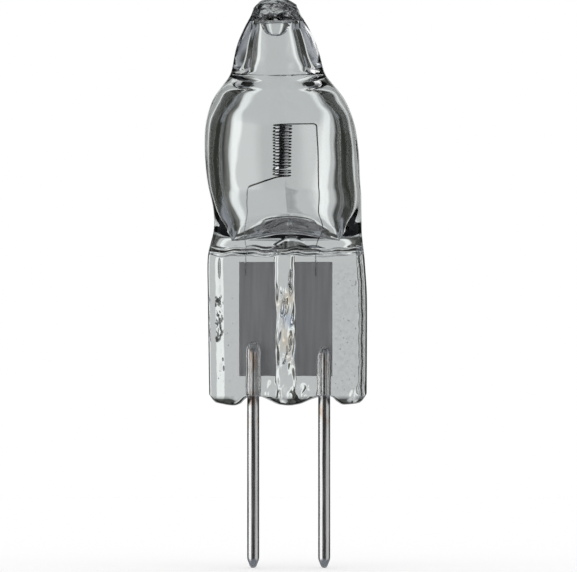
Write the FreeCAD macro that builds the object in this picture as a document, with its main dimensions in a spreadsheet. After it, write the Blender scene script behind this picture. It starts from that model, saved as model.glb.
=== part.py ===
import FreeCAD, Part

# A two-pin halogen capsule lamp: a pinched quartz envelope, its filament, sealing foils and pins.
#
# Frame: millimetres, +Z up. The origin lies midway between the two pins, on the seating plane
# that touches the lowest glass. X runs along the pinch from pin to pin and -Y is the front, the
# side on which the pins and the filament's leads lie on the foils.

import math
import os

import Sketcher

from FreeCAD import Placement, Rotation, Vector

# Each driving dimension: alias, value in millimetres or degrees, meaning.
SIZES = [
    ("pin_spacing", 4.0, "between the pin axes"),
    ("pin_diameter", 0.68, "pin outside the glass"),
    ("pin_plating", 0.01, "plating on the pin outside the glass, which ends at the seating plane"),
    ("pin_reach", 9.15, "pin length below the seating plane"),
    ("pin_depth", 3.3, "pin length above the seating plane, inside the glass"),
    ("pin_tip_length", 0.5, "cone at the free end of a pin"),
    ("pin_tip_radius", 0.1, "flat left at the end of that cone"),
    ("pin_end_chamfer", 0.12, "chamfer at the sealed end of a pin"),
    ("capillary_gap", 0.03, "gap that quartz leaves around a thick pin"),
    ("seal_gap", 0.01, "gap around a foil or a lead in the seal"),
    ("pinch_width", 8.93, "across the two rims"),
    ("pinch_offset", -0.05, "middle of the pinch from the middle between the pins"),
    ("pinch_height", 8.6, "from the seating plane to the ledge"),
    ("web_thickness", 2.4, "pinch between its rims and its rib"),
    ("rim_thickness", 2.9, "pinch at its two rims"),
    ("rim_left_width", 0.85, "left rim, bank included"),
    ("rim_right_width", 0.45, "right rim, bank included"),
    ("rim_bank", 0.16, "width of the slope from a rim down to the web"),
    ("rim_round", 0.28, "radius on the long outer edges of the rims"),
    ("rib_width", 1.05, "rib on the middle of each face"),
    ("rib_height", 0.24, "rib above the web"),
    ("rib_offset", -0.18, "rib centre from the middle of the pinch"),
    ("notch_height", 0.46, "glass edge above the seating plane where a pin leaves it"),
    ("corner_round", 0.95, "radius at the lower corners of the pinch"),
    ("foot_round", 0.75, "radius along the lower edge, front and back"),
    ("foil_width", 2.2, "molybdenum foil, across"),
    ("foil_height", 6.43, "molybdenum foil, along the seal"),
    ("foil_bottom", 1.66, "lower end of the foils above the seating plane"),
    ("foil_thickness", 0.03, "foil at its middle"),
    ("foil_edge", 0.008, "foil at its etched edges"),
    ("foil_feather", 0.3, "width of each etched edge"),
    ("foil_left_centre", -1.69, "middle of the left foil"),
    ("foil_right_centre", 1.36, "middle of the right foil"),
    ("lean_angle", 3.8, "lean of the bulb to the left"),
    ("pivot_rise", 0.95, "place above the ledge where the leaning axis meets the upright one"),
    ("belly_radius", 4.33, "outer radius of the bulb at its widest"),
    ("belly_height", 5.15, "widest place above the pivot, along the leaning axis"),
    ("belly_curve", 54.0, "radius of the gentle barrel below the widest place"),
    ("join_height", 2.45, "end of the round bulb above the pivot"),
    ("join_radius", 4.262, "outer radius there"),
    ("dome_curve", 5.2, "radius of the dome's outline"),
    ("stub_root_height", 8.95, "root of the exhaust stub above the pivot"),
    ("stub_root_radius", 2.66, "outer radius there"),
    ("stub_curve", 7.9, "radius of the stub's outline"),
    ("stub_end_height", 12.5, "shoulder of the melted tip above the pivot"),
    ("stub_end_radius", 1.26, "outer radius there"),
    ("tip_height", 13.5, "top of the melted tip above the pivot"),
    ("bore_belly_radius", 3.48, "inner radius of the bulb at its widest"),
    ("bore_belly_height", 4.9, "widest place of the bore above the pivot"),
    ("bore_join_radius", 3.4, "inner radius at the end of the round bulb"),
    ("bore_belly_curve", 38.0, "radius of the barrel of the bore"),
    ("bore_dome_curve", 3.85, "radius of the dome of the bore"),
    ("neck_height", 8.35, "inward ridge where the exhaust tube was fused on"),
    ("neck_radius", 1.35, "inner radius at that ridge"),
    ("ring_height", 8.85, "sharp ring above the ridge"),
    ("ring_radius", 1.63, "inner radius at that ring"),
    ("flare_height", 9.9, "top of the flare above the ring"),
    ("flare_radius", 1.12, "inner radius there"),
    ("flare_curve", 1.6, "radius of the flare"),
    ("channel_height", 11.6, "top of the exhaust channel's wall"),
    ("channel_radius", 0.9, "inner radius there"),
    ("channel_top", 12.15, "closed end of the channel"),
    ("shoulder_one_rise", 2.6, "first section of the pressed shoulder, above the ledge"),
    ("shoulder_one_inset", 0.53, "how much narrower than the pinch it is there"),
    ("shoulder_one_depth", 7.9, "outer depth there"),
    ("shoulder_one_fullness", 2.05, "exponent of its outline, 2 for an ellipse"),
    ("shoulder_two_rise", 1.8, "second section"),
    ("shoulder_two_inset", 0.59, "how much narrower than the pinch it is there"),
    ("shoulder_two_depth", 5.9, "outer depth there"),
    ("shoulder_two_fullness", 2.25, "exponent of its outline"),
    ("shoulder_three_rise", 1.1, "third section"),
    ("shoulder_three_inset", 0.51, "how much narrower than the pinch it is there"),
    ("shoulder_three_depth", 3.9, "outer depth there"),
    ("shoulder_three_fullness", 2.7, "exponent of its outline"),
    ("shoulder_four_rise", 0.5, "fourth section"),
    ("shoulder_four_inset", 0.31, "how much narrower than the pinch it is there"),
    ("shoulder_four_depth", 2.9, "outer depth there"),
    ("shoulder_four_fullness", 3.4, "exponent of its outline"),
    ("shoulder_foot_inset", 0.3, "how much narrower than the pinch the shoulder ends inside it"),
    ("shoulder_foot_depth", 2.3, "outer depth where the shoulder ends inside the pinch"),
    ("shoulder_foot_fullness", 6.0, "exponent of its outline"),
    ("shoulder_foot_sink", 0.45, "that end, below the ledge"),
    ("cavity_one_rise", 2.7, "first section of the pressed cavity, above the ledge"),
    ("cavity_one_width", 6.4, "cavity width there"),
    ("cavity_one_depth", 6.0, "cavity depth there"),
    ("cavity_two_rise", 2.1, "second section"),
    ("cavity_two_width", 6.16, "cavity width there"),
    ("cavity_two_depth", 4.8, "cavity depth there"),
    ("cavity_three_rise", 1.6, "third section"),
    ("cavity_three_width", 6.0, "cavity width there"),
    ("cavity_three_depth", 3.4, "cavity depth there"),
    ("cavity_four_rise", 1.15, "fourth section"),
    ("cavity_four_width", 5.86, "cavity width there"),
    ("cavity_four_depth", 1.9, "cavity depth there"),
    ("cavity_foot_rise", 0.8, "lowest corners of the cavity"),
    ("cavity_foot_width", 5.76, "cavity width there"),
    ("cavity_foot_depth", 0.8, "cavity depth there"),
    ("cavity_fullness", 2.1, "exponent of the pressed cavity's outlines"),
    ("hump_rise", 1.35, "crown of the glass that the jaws pushed up, above the ledge"),
    ("hump_curve", 7.4, "radius of that crown, seen from the front"),
    ("wire_diameter", 0.09, "tungsten wire of the coil and its leads"),
    ("coil_diameter", 0.97, "coil, to the middle of its wire"),
    ("coil_pitch", 0.165, "rise of one turn"),
    ("coil_turns", 17.0, "turns of the coil"),
    ("coil_rise", 4.37, "the coil's lower end above the ledge"),
    ("coil_centre", -0.34, "coil axis from the middle of the pinch"),
    ("lead_left_bend", -2.25, "left lead, at its bend"),
    ("lead_left_drop", 0.56, "fall of the left lead from the coil to its bend"),
    ("lead_left_foot", -2.42, "left lead, where it lies on its foil"),
    ("lead_right_bend", 1.57, "right lead, at its bend"),
    ("lead_right_knee", 1.88, "right lead, just above the cavity floor"),
    ("lead_right_foot", 1.52, "right lead, where it lies on its foil"),
    ("lead_knee_rise", 2.0, "the leads' knees above the ledge"),
    ("lead_entry_rise", 0.3, "place above the ledge from which a lead runs straight down"),
    ("lead_bend_radius", 0.16, "radius of a lead's tight bends"),
    ("lead_ease_radius", 0.6, "radius where the left lead leaves the coil"),
    ("lead_sweep_radius", 1.2, "radius of a lead's slight bends"),
    ("lead_left_run", 0.32, "level stretch of the left lead as it leaves the coil"),
    ("lead_overlap", 0.7, "length of lead welded to its foil"),
]

# Points that shape each lofted section, and the angle at which its outline begins.
OUTLINE_POINTS = 16
OUTLINE_START = math.radians(45)

# Flats along the filament's wire.
WIRE_FLATS = 4

doc = FreeCAD.newDocument("capsule_lamp")


def fill_sheet():
    """Writes the sizes into the spreadsheet, one row each, with an alias."""
    sheet = doc.addObject("Spreadsheet::Sheet", "sizes")
    for row, (alias, value, meaning) in enumerate(SIZES, start=1):
        sheet.set(f"A{row}", meaning)
        sheet.set(f"B{row}", str(value))
        sheet.setAlias(f"B{row}", alias)
    doc.recompute()
    return sheet


sizes = fill_sheet()


def size(alias):
    """The value of one cell of the sheet."""
    return float(sizes.get(alias))


def worked_out(expression):
    """The value of an expression that names cells as sizes.ALIAS."""
    value = sizes.evalExpression(expression)
    return float(getattr(value, "Value", value))


def origin_plane(body, role):
    """One of a body's own origin planes."""
    for feature in body.Origin.OriginFeatures:
        if feature.Role == role:
            return feature
    raise ValueError(role)


def new_body(label):
    body = doc.addObject("PartDesign::Body", label)
    body.Label = label
    return body


def new_sketch(body, name, role):
    """A sketch on one of its body's origin planes."""
    sketch = body.newObject("Sketcher::SketchObject", name)
    sketch.AttachmentSupport = [(origin_plane(body, role), "")]
    sketch.MapMode = "FlatFace"
    return sketch


def arc_middle(start, end, radius, side):
    """The middle of an arc from start to end; side is 1 where it bulges to the left of the way."""
    chord = end - start
    half = chord.Length / 2
    height = radius - math.sqrt(max(radius * radius - half * half, 0.0))
    left = Vector(-chord.y, chord.x, 0).normalize()
    return (start + end) / 2 + left * height * side


def draw_outline(sketch, corners, arcs=None):
    """Draws a closed outline whose corners and radii are tied to the sheet.

    corners holds pairs of expressions, x and y. arcs maps the number of a side to its radius
    expression and bulge, 1 to the left of the way round and -1 to the right.
    """
    arcs = arcs or {}
    places = [Vector(worked_out(x), worked_out(y), 0) for x, y in corners]
    count = len(places)
    for i in range(count):
        start, end = places[i], places[(i + 1) % count]
        if i in arcs:
            radius, side = arcs[i]
            middle = arc_middle(start, end, worked_out(radius), side)
            arc = Part.Arc(start, middle, end)
            sketch.addGeometry(arc, False)
        else:
            sketch.addGeometry(Part.LineSegment(start, end), False)
    # An arc is stored counter-clockwise, so its ends may be swapped.
    ends = []
    for i in range(count):
        near_start = (sketch.getPoint(i, 1) - places[i]).Length < 1e-6
        ends.append((1, 2) if near_start else (2, 1))
    for i in range(count):
        following = (i + 1) % count
        sketch.addConstraint(
            Sketcher.Constraint("Coincident", i, ends[i][1], following, ends[following][0])
        )
    for i, (x, y) in enumerate(corners):
        corner = (i, ends[i][0])
        if x == "0":
            sketch.addConstraint(Sketcher.Constraint("PointOnObject", *corner, -2))
        else:
            tie(sketch, Sketcher.Constraint("DistanceX", -1, 1, *corner, places[i].x), x)
        if y == "0":
            sketch.addConstraint(Sketcher.Constraint("PointOnObject", *corner, -1))
        else:
            tie(sketch, Sketcher.Constraint("DistanceY", -1, 1, *corner, places[i].y), y)
    for i, (radius, _) in arcs.items():
        tie(sketch, Sketcher.Constraint("Radius", i, worked_out(radius)), radius)


def tie(sketch, constraint, expression):
    """Adds a constraint and binds it to an expression."""
    number = sketch.addConstraint(constraint)
    sketch.setExpression(f"Constraints[{number}]", expression)


def revolve(body, sketch):
    """Turns a half outline about the sketch's upright axis."""
    feature = body.newObject("PartDesign::Revolution", sketch.Name + "_turned")
    feature.Profile = sketch
    feature.ReferenceAxis = (sketch, ["V_Axis"])
    feature.Angle = 360
    return feature


def lean(thing):
    """Tilts a bulb piece about the pivot, as the photograph shows it."""
    thing.setExpression("Placement.Base.z", "sizes.pinch_height + sizes.pivot_rise")
    thing.Placement.Rotation = Rotation(Vector(0, -1, 0), size("lean_angle"))
    thing.setExpression("Placement.Rotation.Angle", "sizes.lean_angle * 1 deg")


def cap_radius(rim_radius, rim_height, top_height):
    """The radius of a round cap that ends level on the axis."""
    rise = f"({top_height} - {rim_height})"
    return f"({rim_radius} ^ 2 + {rise} ^ 2) / (2 * {rise})"


def bulb_outside():
    """The blown bulb and the exhaust stub on its crown, turned about the leaning axis."""
    body = new_body("bulb_outside")
    sketch = new_sketch(body, "bulb_outline", "XZ_Plane")
    draw_outline(
        sketch,
        [
            ("0", "sizes.join_height"),
            ("sizes.join_radius", "sizes.join_height"),
            ("sizes.belly_radius", "sizes.belly_height"),
            ("sizes.stub_root_radius", "sizes.stub_root_height"),
            ("sizes.stub_end_radius", "sizes.stub_end_height"),
            ("0", "sizes.tip_height"),
        ],
        {
            1: ("sizes.belly_curve", -1),
            2: ("sizes.dome_curve", -1),
            3: ("sizes.stub_curve", -1),
            4: (cap_radius("sizes.stub_end_radius", "sizes.stub_end_height", "sizes.tip_height"), -1),
        },
    )
    revolve(body, sketch)
    lean(body)
    return body


def bulb_inside():
    """The bore: belly, dome, the ridge and ring of the fused exhaust tube, and its channel."""
    body = new_body("bulb_inside")
    sketch = new_sketch(body, "bore_outline", "XZ_Plane")
    draw_outline(
        sketch,
        [
            ("0", "sizes.join_height"),
            ("sizes.bore_join_radius", "sizes.join_height"),
            ("sizes.bore_belly_radius", "sizes.bore_belly_height"),
            ("sizes.neck_radius", "sizes.neck_height"),
            ("sizes.ring_radius", "sizes.ring_height"),
            ("sizes.flare_radius", "sizes.flare_height"),
            ("sizes.channel_radius", "sizes.channel_height"),
            ("0", "sizes.channel_top"),
        ],
        {
            1: ("sizes.bore_belly_curve", -1),
            2: ("sizes.bore_dome_curve", -1),
            4: ("sizes.flare_curve", 1),
            6: (cap_radius("sizes.channel_radius", "sizes.channel_height", "sizes.channel_top"), -1),
        },
    )
    revolve(body, sketch)
    lean(body)
    return body


def along_lean(distance):
    """The place on the leaning axis that lies a distance above the pivot."""
    lean = math.radians(size("lean_angle"))
    pivot = size("pinch_height") + size("pivot_rise")
    return Vector(-distance * math.sin(lean), 0, pivot + distance * math.cos(lean))


def outline(name, width, depth, fullness):
    """A closed superellipse through points set out alike, so that a loft has no twist."""
    points = []
    for i in range(OUTLINE_POINTS):
        angle = OUTLINE_START + 2 * math.pi * i / OUTLINE_POINTS
        across = math.copysign(abs(math.cos(angle)) ** (2 / fullness), math.cos(angle))
        deep = math.copysign(abs(math.sin(angle)) ** (2 / fullness), math.sin(angle))
        points.append(Vector(across * width / 2, deep * depth / 2, 0))
    curve = Part.BSplineCurve()
    curve.interpolate(points, PeriodicFlag=True)
    shape = doc.addObject("Part::Feature", name)
    shape.Shape = Part.Wire([curve.toShape()])
    return shape


def pressed_section(name, width, depth, rise, fullness):
    """A section of the pressed glass, which leans less and less from the bulb to the ledge."""
    round_end = along_lean(size("join_height"))
    ledge = size("pinch_height")
    share = rise / (round_end.z - ledge)
    centre = share * round_end.x + (1 - share) * size("pinch_offset")
    shape = outline(name, width, depth, fullness)
    tilt = Rotation(Vector(0, -1, 0), share * size("lean_angle"))
    shape.Placement = Placement(Vector(centre, 0, ledge + rise), tilt)
    return shape


def round_section(name, radius):
    """The circle in which the round bulb ends, begun where every outline begins."""
    circle = doc.addObject("Part::Circle", name)
    circle.setExpression("Radius", radius)
    tilt = Rotation(Vector(0, -1, 0), size("lean_angle"))
    start = Rotation(Vector(0, 0, 1), math.degrees(OUTLINE_START))
    circle.Placement = Placement(along_lean(size("join_height")), tilt * start)
    return circle


def loft(name, sections):
    feature = doc.addObject("Part::Loft", name)
    feature.Sections = sections
    feature.Solid = True
    feature.Ruled = False
    return feature


def shoulder_outside():
    """The outer glass that the jaws drew from the round bulb down to the flat pinch."""
    sections = [round_section("shoulder_top", "sizes.join_radius")]
    for step in ("one", "two", "three", "four"):
        sections.append(
            pressed_section(
                f"shoulder_{step}",
                size("pinch_width") - size(f"shoulder_{step}_inset"),
                size(f"shoulder_{step}_depth"),
                size(f"shoulder_{step}_rise"),
                size(f"shoulder_{step}_fullness"),
            )
        )
    sections.append(
        pressed_section(
            "shoulder_foot",
            size("pinch_width") - size("shoulder_foot_inset"),
            size("shoulder_foot_depth"),
            -size("shoulder_foot_sink"),
            size("shoulder_foot_fullness"),
        )
    )
    return loft("shoulder_outside", sections)


def shoulder_inside():
    """The lower cavity, pressed from a round bore into a narrow trough over a humped floor."""
    sections = [round_section("cavity_top", "sizes.bore_join_radius")]
    for step in ("one", "two", "three", "four", "foot"):
        sections.append(
            pressed_section(
                f"cavity_{step}",
                size(f"cavity_{step}_width"),
                size(f"cavity_{step}_depth"),
                size(f"cavity_{step}_rise"),
                size("cavity_fullness"),
            )
        )
    trough = loft("trough", sections)
    hump = doc.addObject("Part::Cylinder", "hump")
    hump.setExpression("Radius", "sizes.hump_curve")
    hump.setExpression("Height", "sizes.pinch_width")
    hump.Placement.Rotation = Rotation(Vector(1, 0, 0), 90)
    hump.setExpression("Placement.Base.y", "sizes.pinch_width / 2")
    hump.setExpression(
        "Placement.Base.z", "sizes.pinch_height + sizes.hump_rise - sizes.hump_curve"
    )
    floor = doc.addObject("Part::Cut", "shoulder_inside")
    floor.Base = trough
    floor.Tool = hump
    return floor


def pinch_sides():
    """The two outer sides of the pinch."""
    half = "sizes.pinch_width / 2"
    return f"(sizes.pinch_offset - {half})", f"(sizes.pinch_offset + {half})"


def pinch_section(sketch):
    """The pinch seen from above: rims at both ends, a rib on each face and the web between."""
    left_side, right_side = pinch_sides()
    web = "sizes.web_thickness / 2"
    rim = "sizes.rim_thickness / 2"
    rib_left = "sizes.rib_offset - sizes.rib_width / 2"
    rib_right = "sizes.rib_offset + sizes.rib_width / 2"
    left_foot = f"{left_side} + sizes.rim_left_width"
    left_top = f"{left_foot} - sizes.rim_bank"
    right_foot = f"{right_side} - sizes.rim_right_width"
    right_top = f"{right_foot} + sizes.rim_bank"
    front = [
        (left_side, f"-({rim} - sizes.rim_round)"),
        (f"{left_side} + sizes.rim_round", f"-{rim}"),
        (left_top, f"-{rim}"),
        (left_foot, f"-{web}"),
        (rib_left, f"-{web}"),
        (rib_right, f"-{web}"),
        (right_foot, f"-{web}"),
        (right_top, f"-{rim}"),
        (f"{right_side} - sizes.rim_round", f"-{rim}"),
        (right_side, f"-({rim} - sizes.rim_round)"),
    ]
    back = [(x, y[1:]) for x, y in reversed(front)]
    rib_curve = "(sizes.rib_width ^ 2 / 4 + sizes.rib_height ^ 2) / (2 * sizes.rib_height)"
    last = len(front) - 1
    arcs = {
        0: ("sizes.rim_round", -1),
        4: (rib_curve, -1),
        last - 1: ("sizes.rim_round", -1),
        last + 1: ("sizes.rim_round", -1),
        last + 5: (rib_curve, -1),
        2 * last: ("sizes.rim_round", -1),
    }
    draw_outline(sketch, front + back, arcs)


def lobed_foot(sketch):
    """The region cut from below, seen from the front: three lobes with a notch at each pin."""
    left_side, right_side = pinch_sides()
    below = "-sizes.notch_height"
    rise = "sizes.notch_height"
    inner = "((sizes.pin_spacing - sizes.pin_diameter) / 2)"
    outer = "((sizes.pin_spacing + sizes.pin_diameter) / 2)"
    left_low = f"({left_side} + sizes.corner_round)"
    right_low = f"({right_side} - sizes.corner_round)"
    corners = [
        (left_side, below),
        (right_side, below),
        (right_side, "sizes.corner_round"),
        (right_low, "0"),
        (outer, rise),
        (inner, rise),
        (f"-{inner}", rise),
        (f"-{outer}", rise),
        (left_low, "0"),
        (left_side, "sizes.corner_round"),
    ]
    arcs = {
        2: ("sizes.corner_round", 1),
        3: (cap_radius(f"({right_low} - {outer})", "0", rise), 1),
        5: (cap_radius(inner, "0", rise), 1),
        7: (cap_radius(f"({left_low} + {outer})", "0", rise), 1),
        8: ("sizes.corner_round", 1),
    }
    draw_outline(sketch, corners, arcs)


def rounded_foot(sketch, side):
    """The corner cut along the lower edge of one face, seen from the side of the pinch."""
    face = "sizes.rim_thickness / 2"
    sign = "-" if side < 0 else ""
    corners = [
        (f"{sign}({face} - sizes.foot_round)", "0"),
        (f"{sign}{face}", "sizes.foot_round"),
        (f"{sign}{face}", "0"),
    ]
    draw_outline(sketch, corners, {0: ("sizes.foot_round", -side)})


def pinch():
    """The flat seal: a padded section, cut to its lobes and rounded along its foot and ledge."""
    body = new_body("pinch")
    section = new_sketch(body, "pinch_section", "XY_Plane")
    pinch_section(section)
    pad = body.newObject("PartDesign::Pad", "pinch_pad")
    pad.Profile = section
    pad.setExpression("Length", "sizes.pinch_height")
    doc.recompute()
    foot = new_sketch(body, "lobed_foot", "XZ_Plane")
    lobed_foot(foot)
    cut_through(body, foot, "lobes_cut")
    for side, name in ((-1, "front_foot"), (1, "back_foot")):
        sketch = new_sketch(body, name, "YZ_Plane")
        rounded_foot(sketch, side)
        cut_through(body, sketch, name + "_cut")
    return body


def cut_through(body, sketch, name):
    """A pocket through everything, both ways, which has to take some glass away."""
    before = body.Shape.Volume
    pocket = body.newObject("PartDesign::Pocket", name)
    pocket.Profile = sketch
    pocket.Type = "ThroughAll"
    pocket.Midplane = True
    doc.recompute()
    if not pocket.Shape.Volume < before:
        raise RuntimeError(f"{name} cut nothing")
    return pocket


SEALED_PIN = "(sizes.pin_diameter / 2 - sizes.pin_plating)"


def pin(label, sign):
    """One contact pin: plated, with a cone at its free end, and bare in the seal."""
    body = new_body(label)
    sketch = new_sketch(body, label + "_outline", "XZ_Plane")
    radius = "sizes.pin_diameter / 2"
    draw_outline(
        sketch,
        [
            ("0", "-sizes.pin_reach"),
            ("sizes.pin_tip_radius", "-sizes.pin_reach"),
            (radius, "-sizes.pin_reach + sizes.pin_tip_length"),
            (radius, "0"),
            (SEALED_PIN, "0"),
            (SEALED_PIN, "sizes.pin_depth - sizes.pin_end_chamfer"),
            (f"{SEALED_PIN} - sizes.pin_end_chamfer", "sizes.pin_depth"),
            ("0", "sizes.pin_depth"),
        ],
    )
    revolve(body, sketch)
    body.setExpression("Placement.Base.x", f"{sign} * sizes.pin_spacing / 2")
    return body


def pin_socket(label, sign):
    """The hole that the quartz keeps around a pin, open at the notch below."""
    hole = doc.addObject("Part::Cylinder", label)
    hole.setExpression("Radius", f"{SEALED_PIN} + sizes.capillary_gap")
    hole.setExpression("Height", "sizes.pin_depth + sizes.capillary_gap + sizes.notch_height")
    hole.setExpression("Placement.Base.x", f"{sign} * sizes.pin_spacing / 2")
    hole.setExpression("Placement.Base.z", "-sizes.notch_height")
    return hole


FOIL_FACE = SEALED_PIN


def foil(label, centre):
    """One molybdenum foil: thick in the middle, etched thin at both long edges."""
    body = new_body(label)
    sketch = new_sketch(body, label + "_section", "XY_Plane")
    half = "sizes.foil_width / 2"
    flat = f"{half} - sizes.foil_feather"
    thick = "sizes.foil_thickness / 2"
    thin = "sizes.foil_edge / 2"
    draw_outline(
        sketch,
        [
            (f"-({half})", f"-{thin}"),
            (f"-({flat})", f"-{thick}"),
            (flat, f"-{thick}"),
            (half, f"-{thin}"),
            (half, thin),
            (flat, thick),
            (f"-({flat})", thick),
            (f"-({half})", thin),
        ],
    )
    pad = body.newObject("PartDesign::Pad", label + "_pad")
    pad.Profile = sketch
    pad.setExpression("Length", "sizes.foil_height")
    body.setExpression("Placement.Base.x", centre)
    body.setExpression("Placement.Base.y", f"{FOIL_FACE} + sizes.foil_thickness / 2")
    body.setExpression("Placement.Base.z", "sizes.foil_bottom")
    return body


def foil_slot(label, centre):
    """The flat slot that a foil fills in the seal."""
    slot = doc.addObject("Part::Box", label)
    gap = "sizes.seal_gap"
    slot.setExpression("Length", f"sizes.foil_width + 2 * {gap}")
    slot.setExpression("Width", f"sizes.foil_thickness + 2 * {gap}")
    slot.setExpression("Height", f"sizes.foil_height + 2 * {gap}")
    slot.setExpression("Placement.Base.x", f"{centre} - sizes.foil_width / 2 - {gap}")
    slot.setExpression("Placement.Base.y", f"{FOIL_FACE} - {gap}")
    slot.setExpression("Placement.Base.z", f"sizes.foil_bottom - {gap}")
    return slot


def bent_wire(points, radii):
    """A path of straight runs joined by tangent arcs, one radius for each inner point."""
    edges = []
    start = points[0]
    for before, corner, after, radius in zip(points, points[1:], points[2:], radii):
        arriving = (corner - before).normalize()
        leaving = (after - corner).normalize()
        half_turn = arriving.getAngle(leaving) / 2
        reach = radius * math.tan(half_turn)
        arc_start = corner - arriving * reach
        arc_end = corner + leaving * reach
        inward = (leaving - arriving).normalize()
        middle = corner + inward * radius * (1 / math.cos(half_turn) - 1)
        edges.append(Part.LineSegment(start, arc_start).toShape())
        edges.append(Part.Arc(arc_start, middle, arc_end).toShape())
        start = arc_end
    edges.append(Part.LineSegment(start, points[-1]).toShape())
    return Part.Wire(edges)


def lead_points():
    """The corners of both leads, from the coil's ends down to the foils."""
    front = -size("coil_diameter") / 2
    seat = worked_out(f"{FOIL_FACE} - sizes.wire_diameter / 2")
    ledge = size("pinch_height")
    bottom = ledge + size("coil_rise")
    top = bottom + size("coil_turns") * size("coil_pitch")
    end = worked_out("sizes.foil_bottom + sizes.foil_height - sizes.lead_overlap")
    entry = ledge + size("lead_entry_rise")
    knee = ledge + size("lead_knee_rise")
    left = [
        Vector(size("coil_centre"), front, bottom),
        Vector(size("coil_centre") - size("lead_left_run"), front, bottom),
        Vector(size("lead_left_bend"), front, bottom - size("lead_left_drop")),
        Vector(size("lead_left_foot"), seat, knee),
        Vector(size("lead_left_foot"), seat, end),
    ]
    right = [
        Vector(size("coil_centre"), front, top),
        Vector(size("lead_right_bend"), front, top),
        Vector(size("lead_right_knee"), seat, knee),
        Vector(size("lead_right_foot"), seat, entry),
        Vector(size("lead_right_foot"), seat, end),
    ]
    return left, right


def wire_section(name, radius, centre, along):
    """The section of a wire to sweep, square to the way the sweep sets off.

    The wire is no thicker than a hair and is swept as four long flats, corner to corner across
    its diameter.
    """
    section = doc.addObject("Part::RegularPolygon", name)
    section.Polygon = WIRE_FLATS
    section.setExpression("Circumradius", radius)
    section.Placement = Placement(centre, Rotation(Vector(0, 0, 1), along))
    return section


def sweep(name, spine, edges, section):
    feature = doc.addObject("Part::Sweep", name)
    feature.Sections = [section]
    feature.Spine = (spine, edges)
    feature.Solid = True
    feature.Frenet = True
    return feature


def lead(name, points, radii, radius):
    """A lead of the filament, or the channel for one where radius holds a gap as well."""
    spine = doc.addObject("Part::Feature", name + "_path")
    spine.Shape = bent_wire(points, radii)
    section = wire_section(name + "_wire", radius, points[0], points[1] - points[0])
    edges = [f"Edge{i + 1}" for i in range(len(spine.Shape.Edges))]
    return sweep(name, spine, edges, section)


def coil():
    """The close-wound coil, which starts and ends at the front, where the leads leave it."""
    helix = doc.addObject("Part::Helix", "coil_path")
    helix.setExpression("Pitch", "sizes.coil_pitch")
    helix.setExpression("Height", "sizes.coil_turns * sizes.coil_pitch")
    helix.setExpression("Radius", "sizes.coil_diameter / 2")
    helix.Placement.Rotation = Rotation(Vector(0, 0, 1), -90)
    helix.setExpression("Placement.Base.x", "sizes.coil_centre")
    helix.setExpression("Placement.Base.z", "sizes.pinch_height + sizes.coil_rise")
    bottom = size("pinch_height") + size("coil_rise")
    front = Vector(size("coil_centre"), -size("coil_diameter") / 2, bottom)
    section = wire_section("coil_wire", "sizes.wire_diameter / 2", front, Vector(1, 0, 0))
    return sweep("coil", helix, ["Edge1"], section)


def filament():
    """One tungsten wire: left lead, coil and right lead."""
    left, right = lead_points()
    tight, slight = size("lead_bend_radius"), size("lead_sweep_radius")
    wire = "sizes.wire_diameter / 2"
    whole = doc.addObject("Part::MultiFuse", "filament")
    whole.Shapes = [
        coil(),
        lead("left_lead", left, [size("lead_ease_radius"), tight, slight], wire),
        lead("right_lead", right, [tight, slight, slight], wire),
    ]
    whole.Label = "filament"
    channel = "sizes.wire_diameter / 2 + sizes.seal_gap"
    channels = [
        lead("left_channel", left[2:], [slight], channel),
        lead("right_channel", right[1:], [slight, slight], channel),
    ]
    return whole, channels


def envelope(inserts):
    """The quartz: bulb, shoulder and pinch in one, hollowed, with a place for each sealed piece."""
    outside = doc.addObject("Part::MultiFuse", "outside")
    outside.Shapes = [bulb_outside(), shoulder_outside(), pinch()]
    outside.Refine = True
    cavity = doc.addObject("Part::MultiFuse", "cavity")
    cavity.Shapes = [bulb_inside(), shoulder_inside()]
    cavity.Refine = True
    hollow = doc.addObject("Part::Cut", "hollow")
    hollow.Base = outside
    hollow.Tool = cavity
    places = doc.addObject("Part::MultiFuse", "places")
    places.Shapes = inserts
    glass = doc.addObject("Part::Cut", "quartz_envelope")
    glass.Base = hollow
    glass.Tool = places
    glass.Label = "quartz_envelope"
    return glass


def check(features):
    """Stops unless every object is sound and every sub-part is one valid solid."""
    for thing in doc.Objects:
        if "Invalid" in thing.State or "Error" in thing.State:
            raise RuntimeError(f"{thing.Name} failed: {thing.State}")
    for feature in features:
        shape = feature.Shape
        if shape.isNull() or not shape.isValid() or len(shape.Solids) != 1:
            raise RuntimeError(f"{feature.Label} is not one valid solid")


def main():
    whole_filament, channels = filament()
    sockets = [pin_socket("left_socket", -1), pin_socket("right_socket", 1)]
    slots = [
        foil_slot("left_slot", "sizes.foil_left_centre"),
        foil_slot("right_slot", "sizes.foil_right_centre"),
    ]
    parts = [
        envelope(sockets + slots + channels),
        whole_filament,
        foil("foil_left", "sizes.foil_left_centre"),
        foil("foil_right", "sizes.foil_right_centre"),
        pin("pin_left", -1),
        pin("pin_right", 1),
    ]
    doc.recompute()
    check(parts)
    os.makedirs("parts", exist_ok=True)
    for feature in parts:
        feature.Shape.exportStep(f"parts/{feature.Label}.step")
        box = feature.Shape.BoundBox
        print(
            f"{feature.Label}: volume {feature.Shape.Volume:.4f} mm3, "
            f"x {box.XMin:.2f}..{box.XMax:.2f}, y {box.YMin:.2f}..{box.YMax:.2f}, "
            f"z {box.ZMin:.2f}..{box.ZMax:.2f}"
        )


main()
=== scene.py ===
# %% [markdown]
# # A halogen capsule lamp
# A lamp the size of a fingertip: a quartz bulb blown from a tube, pinched flat at its foot around
# two foils and two pins, with a coil of tungsten inside. The lesson builds each piece as a mesh
# worked out from a few sizes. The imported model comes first. It says where each piece is, and
# everything below is drawn in its frame: metres, +Z up, -Y towards the viewer.

# %% The frame
import math
import random

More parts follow.
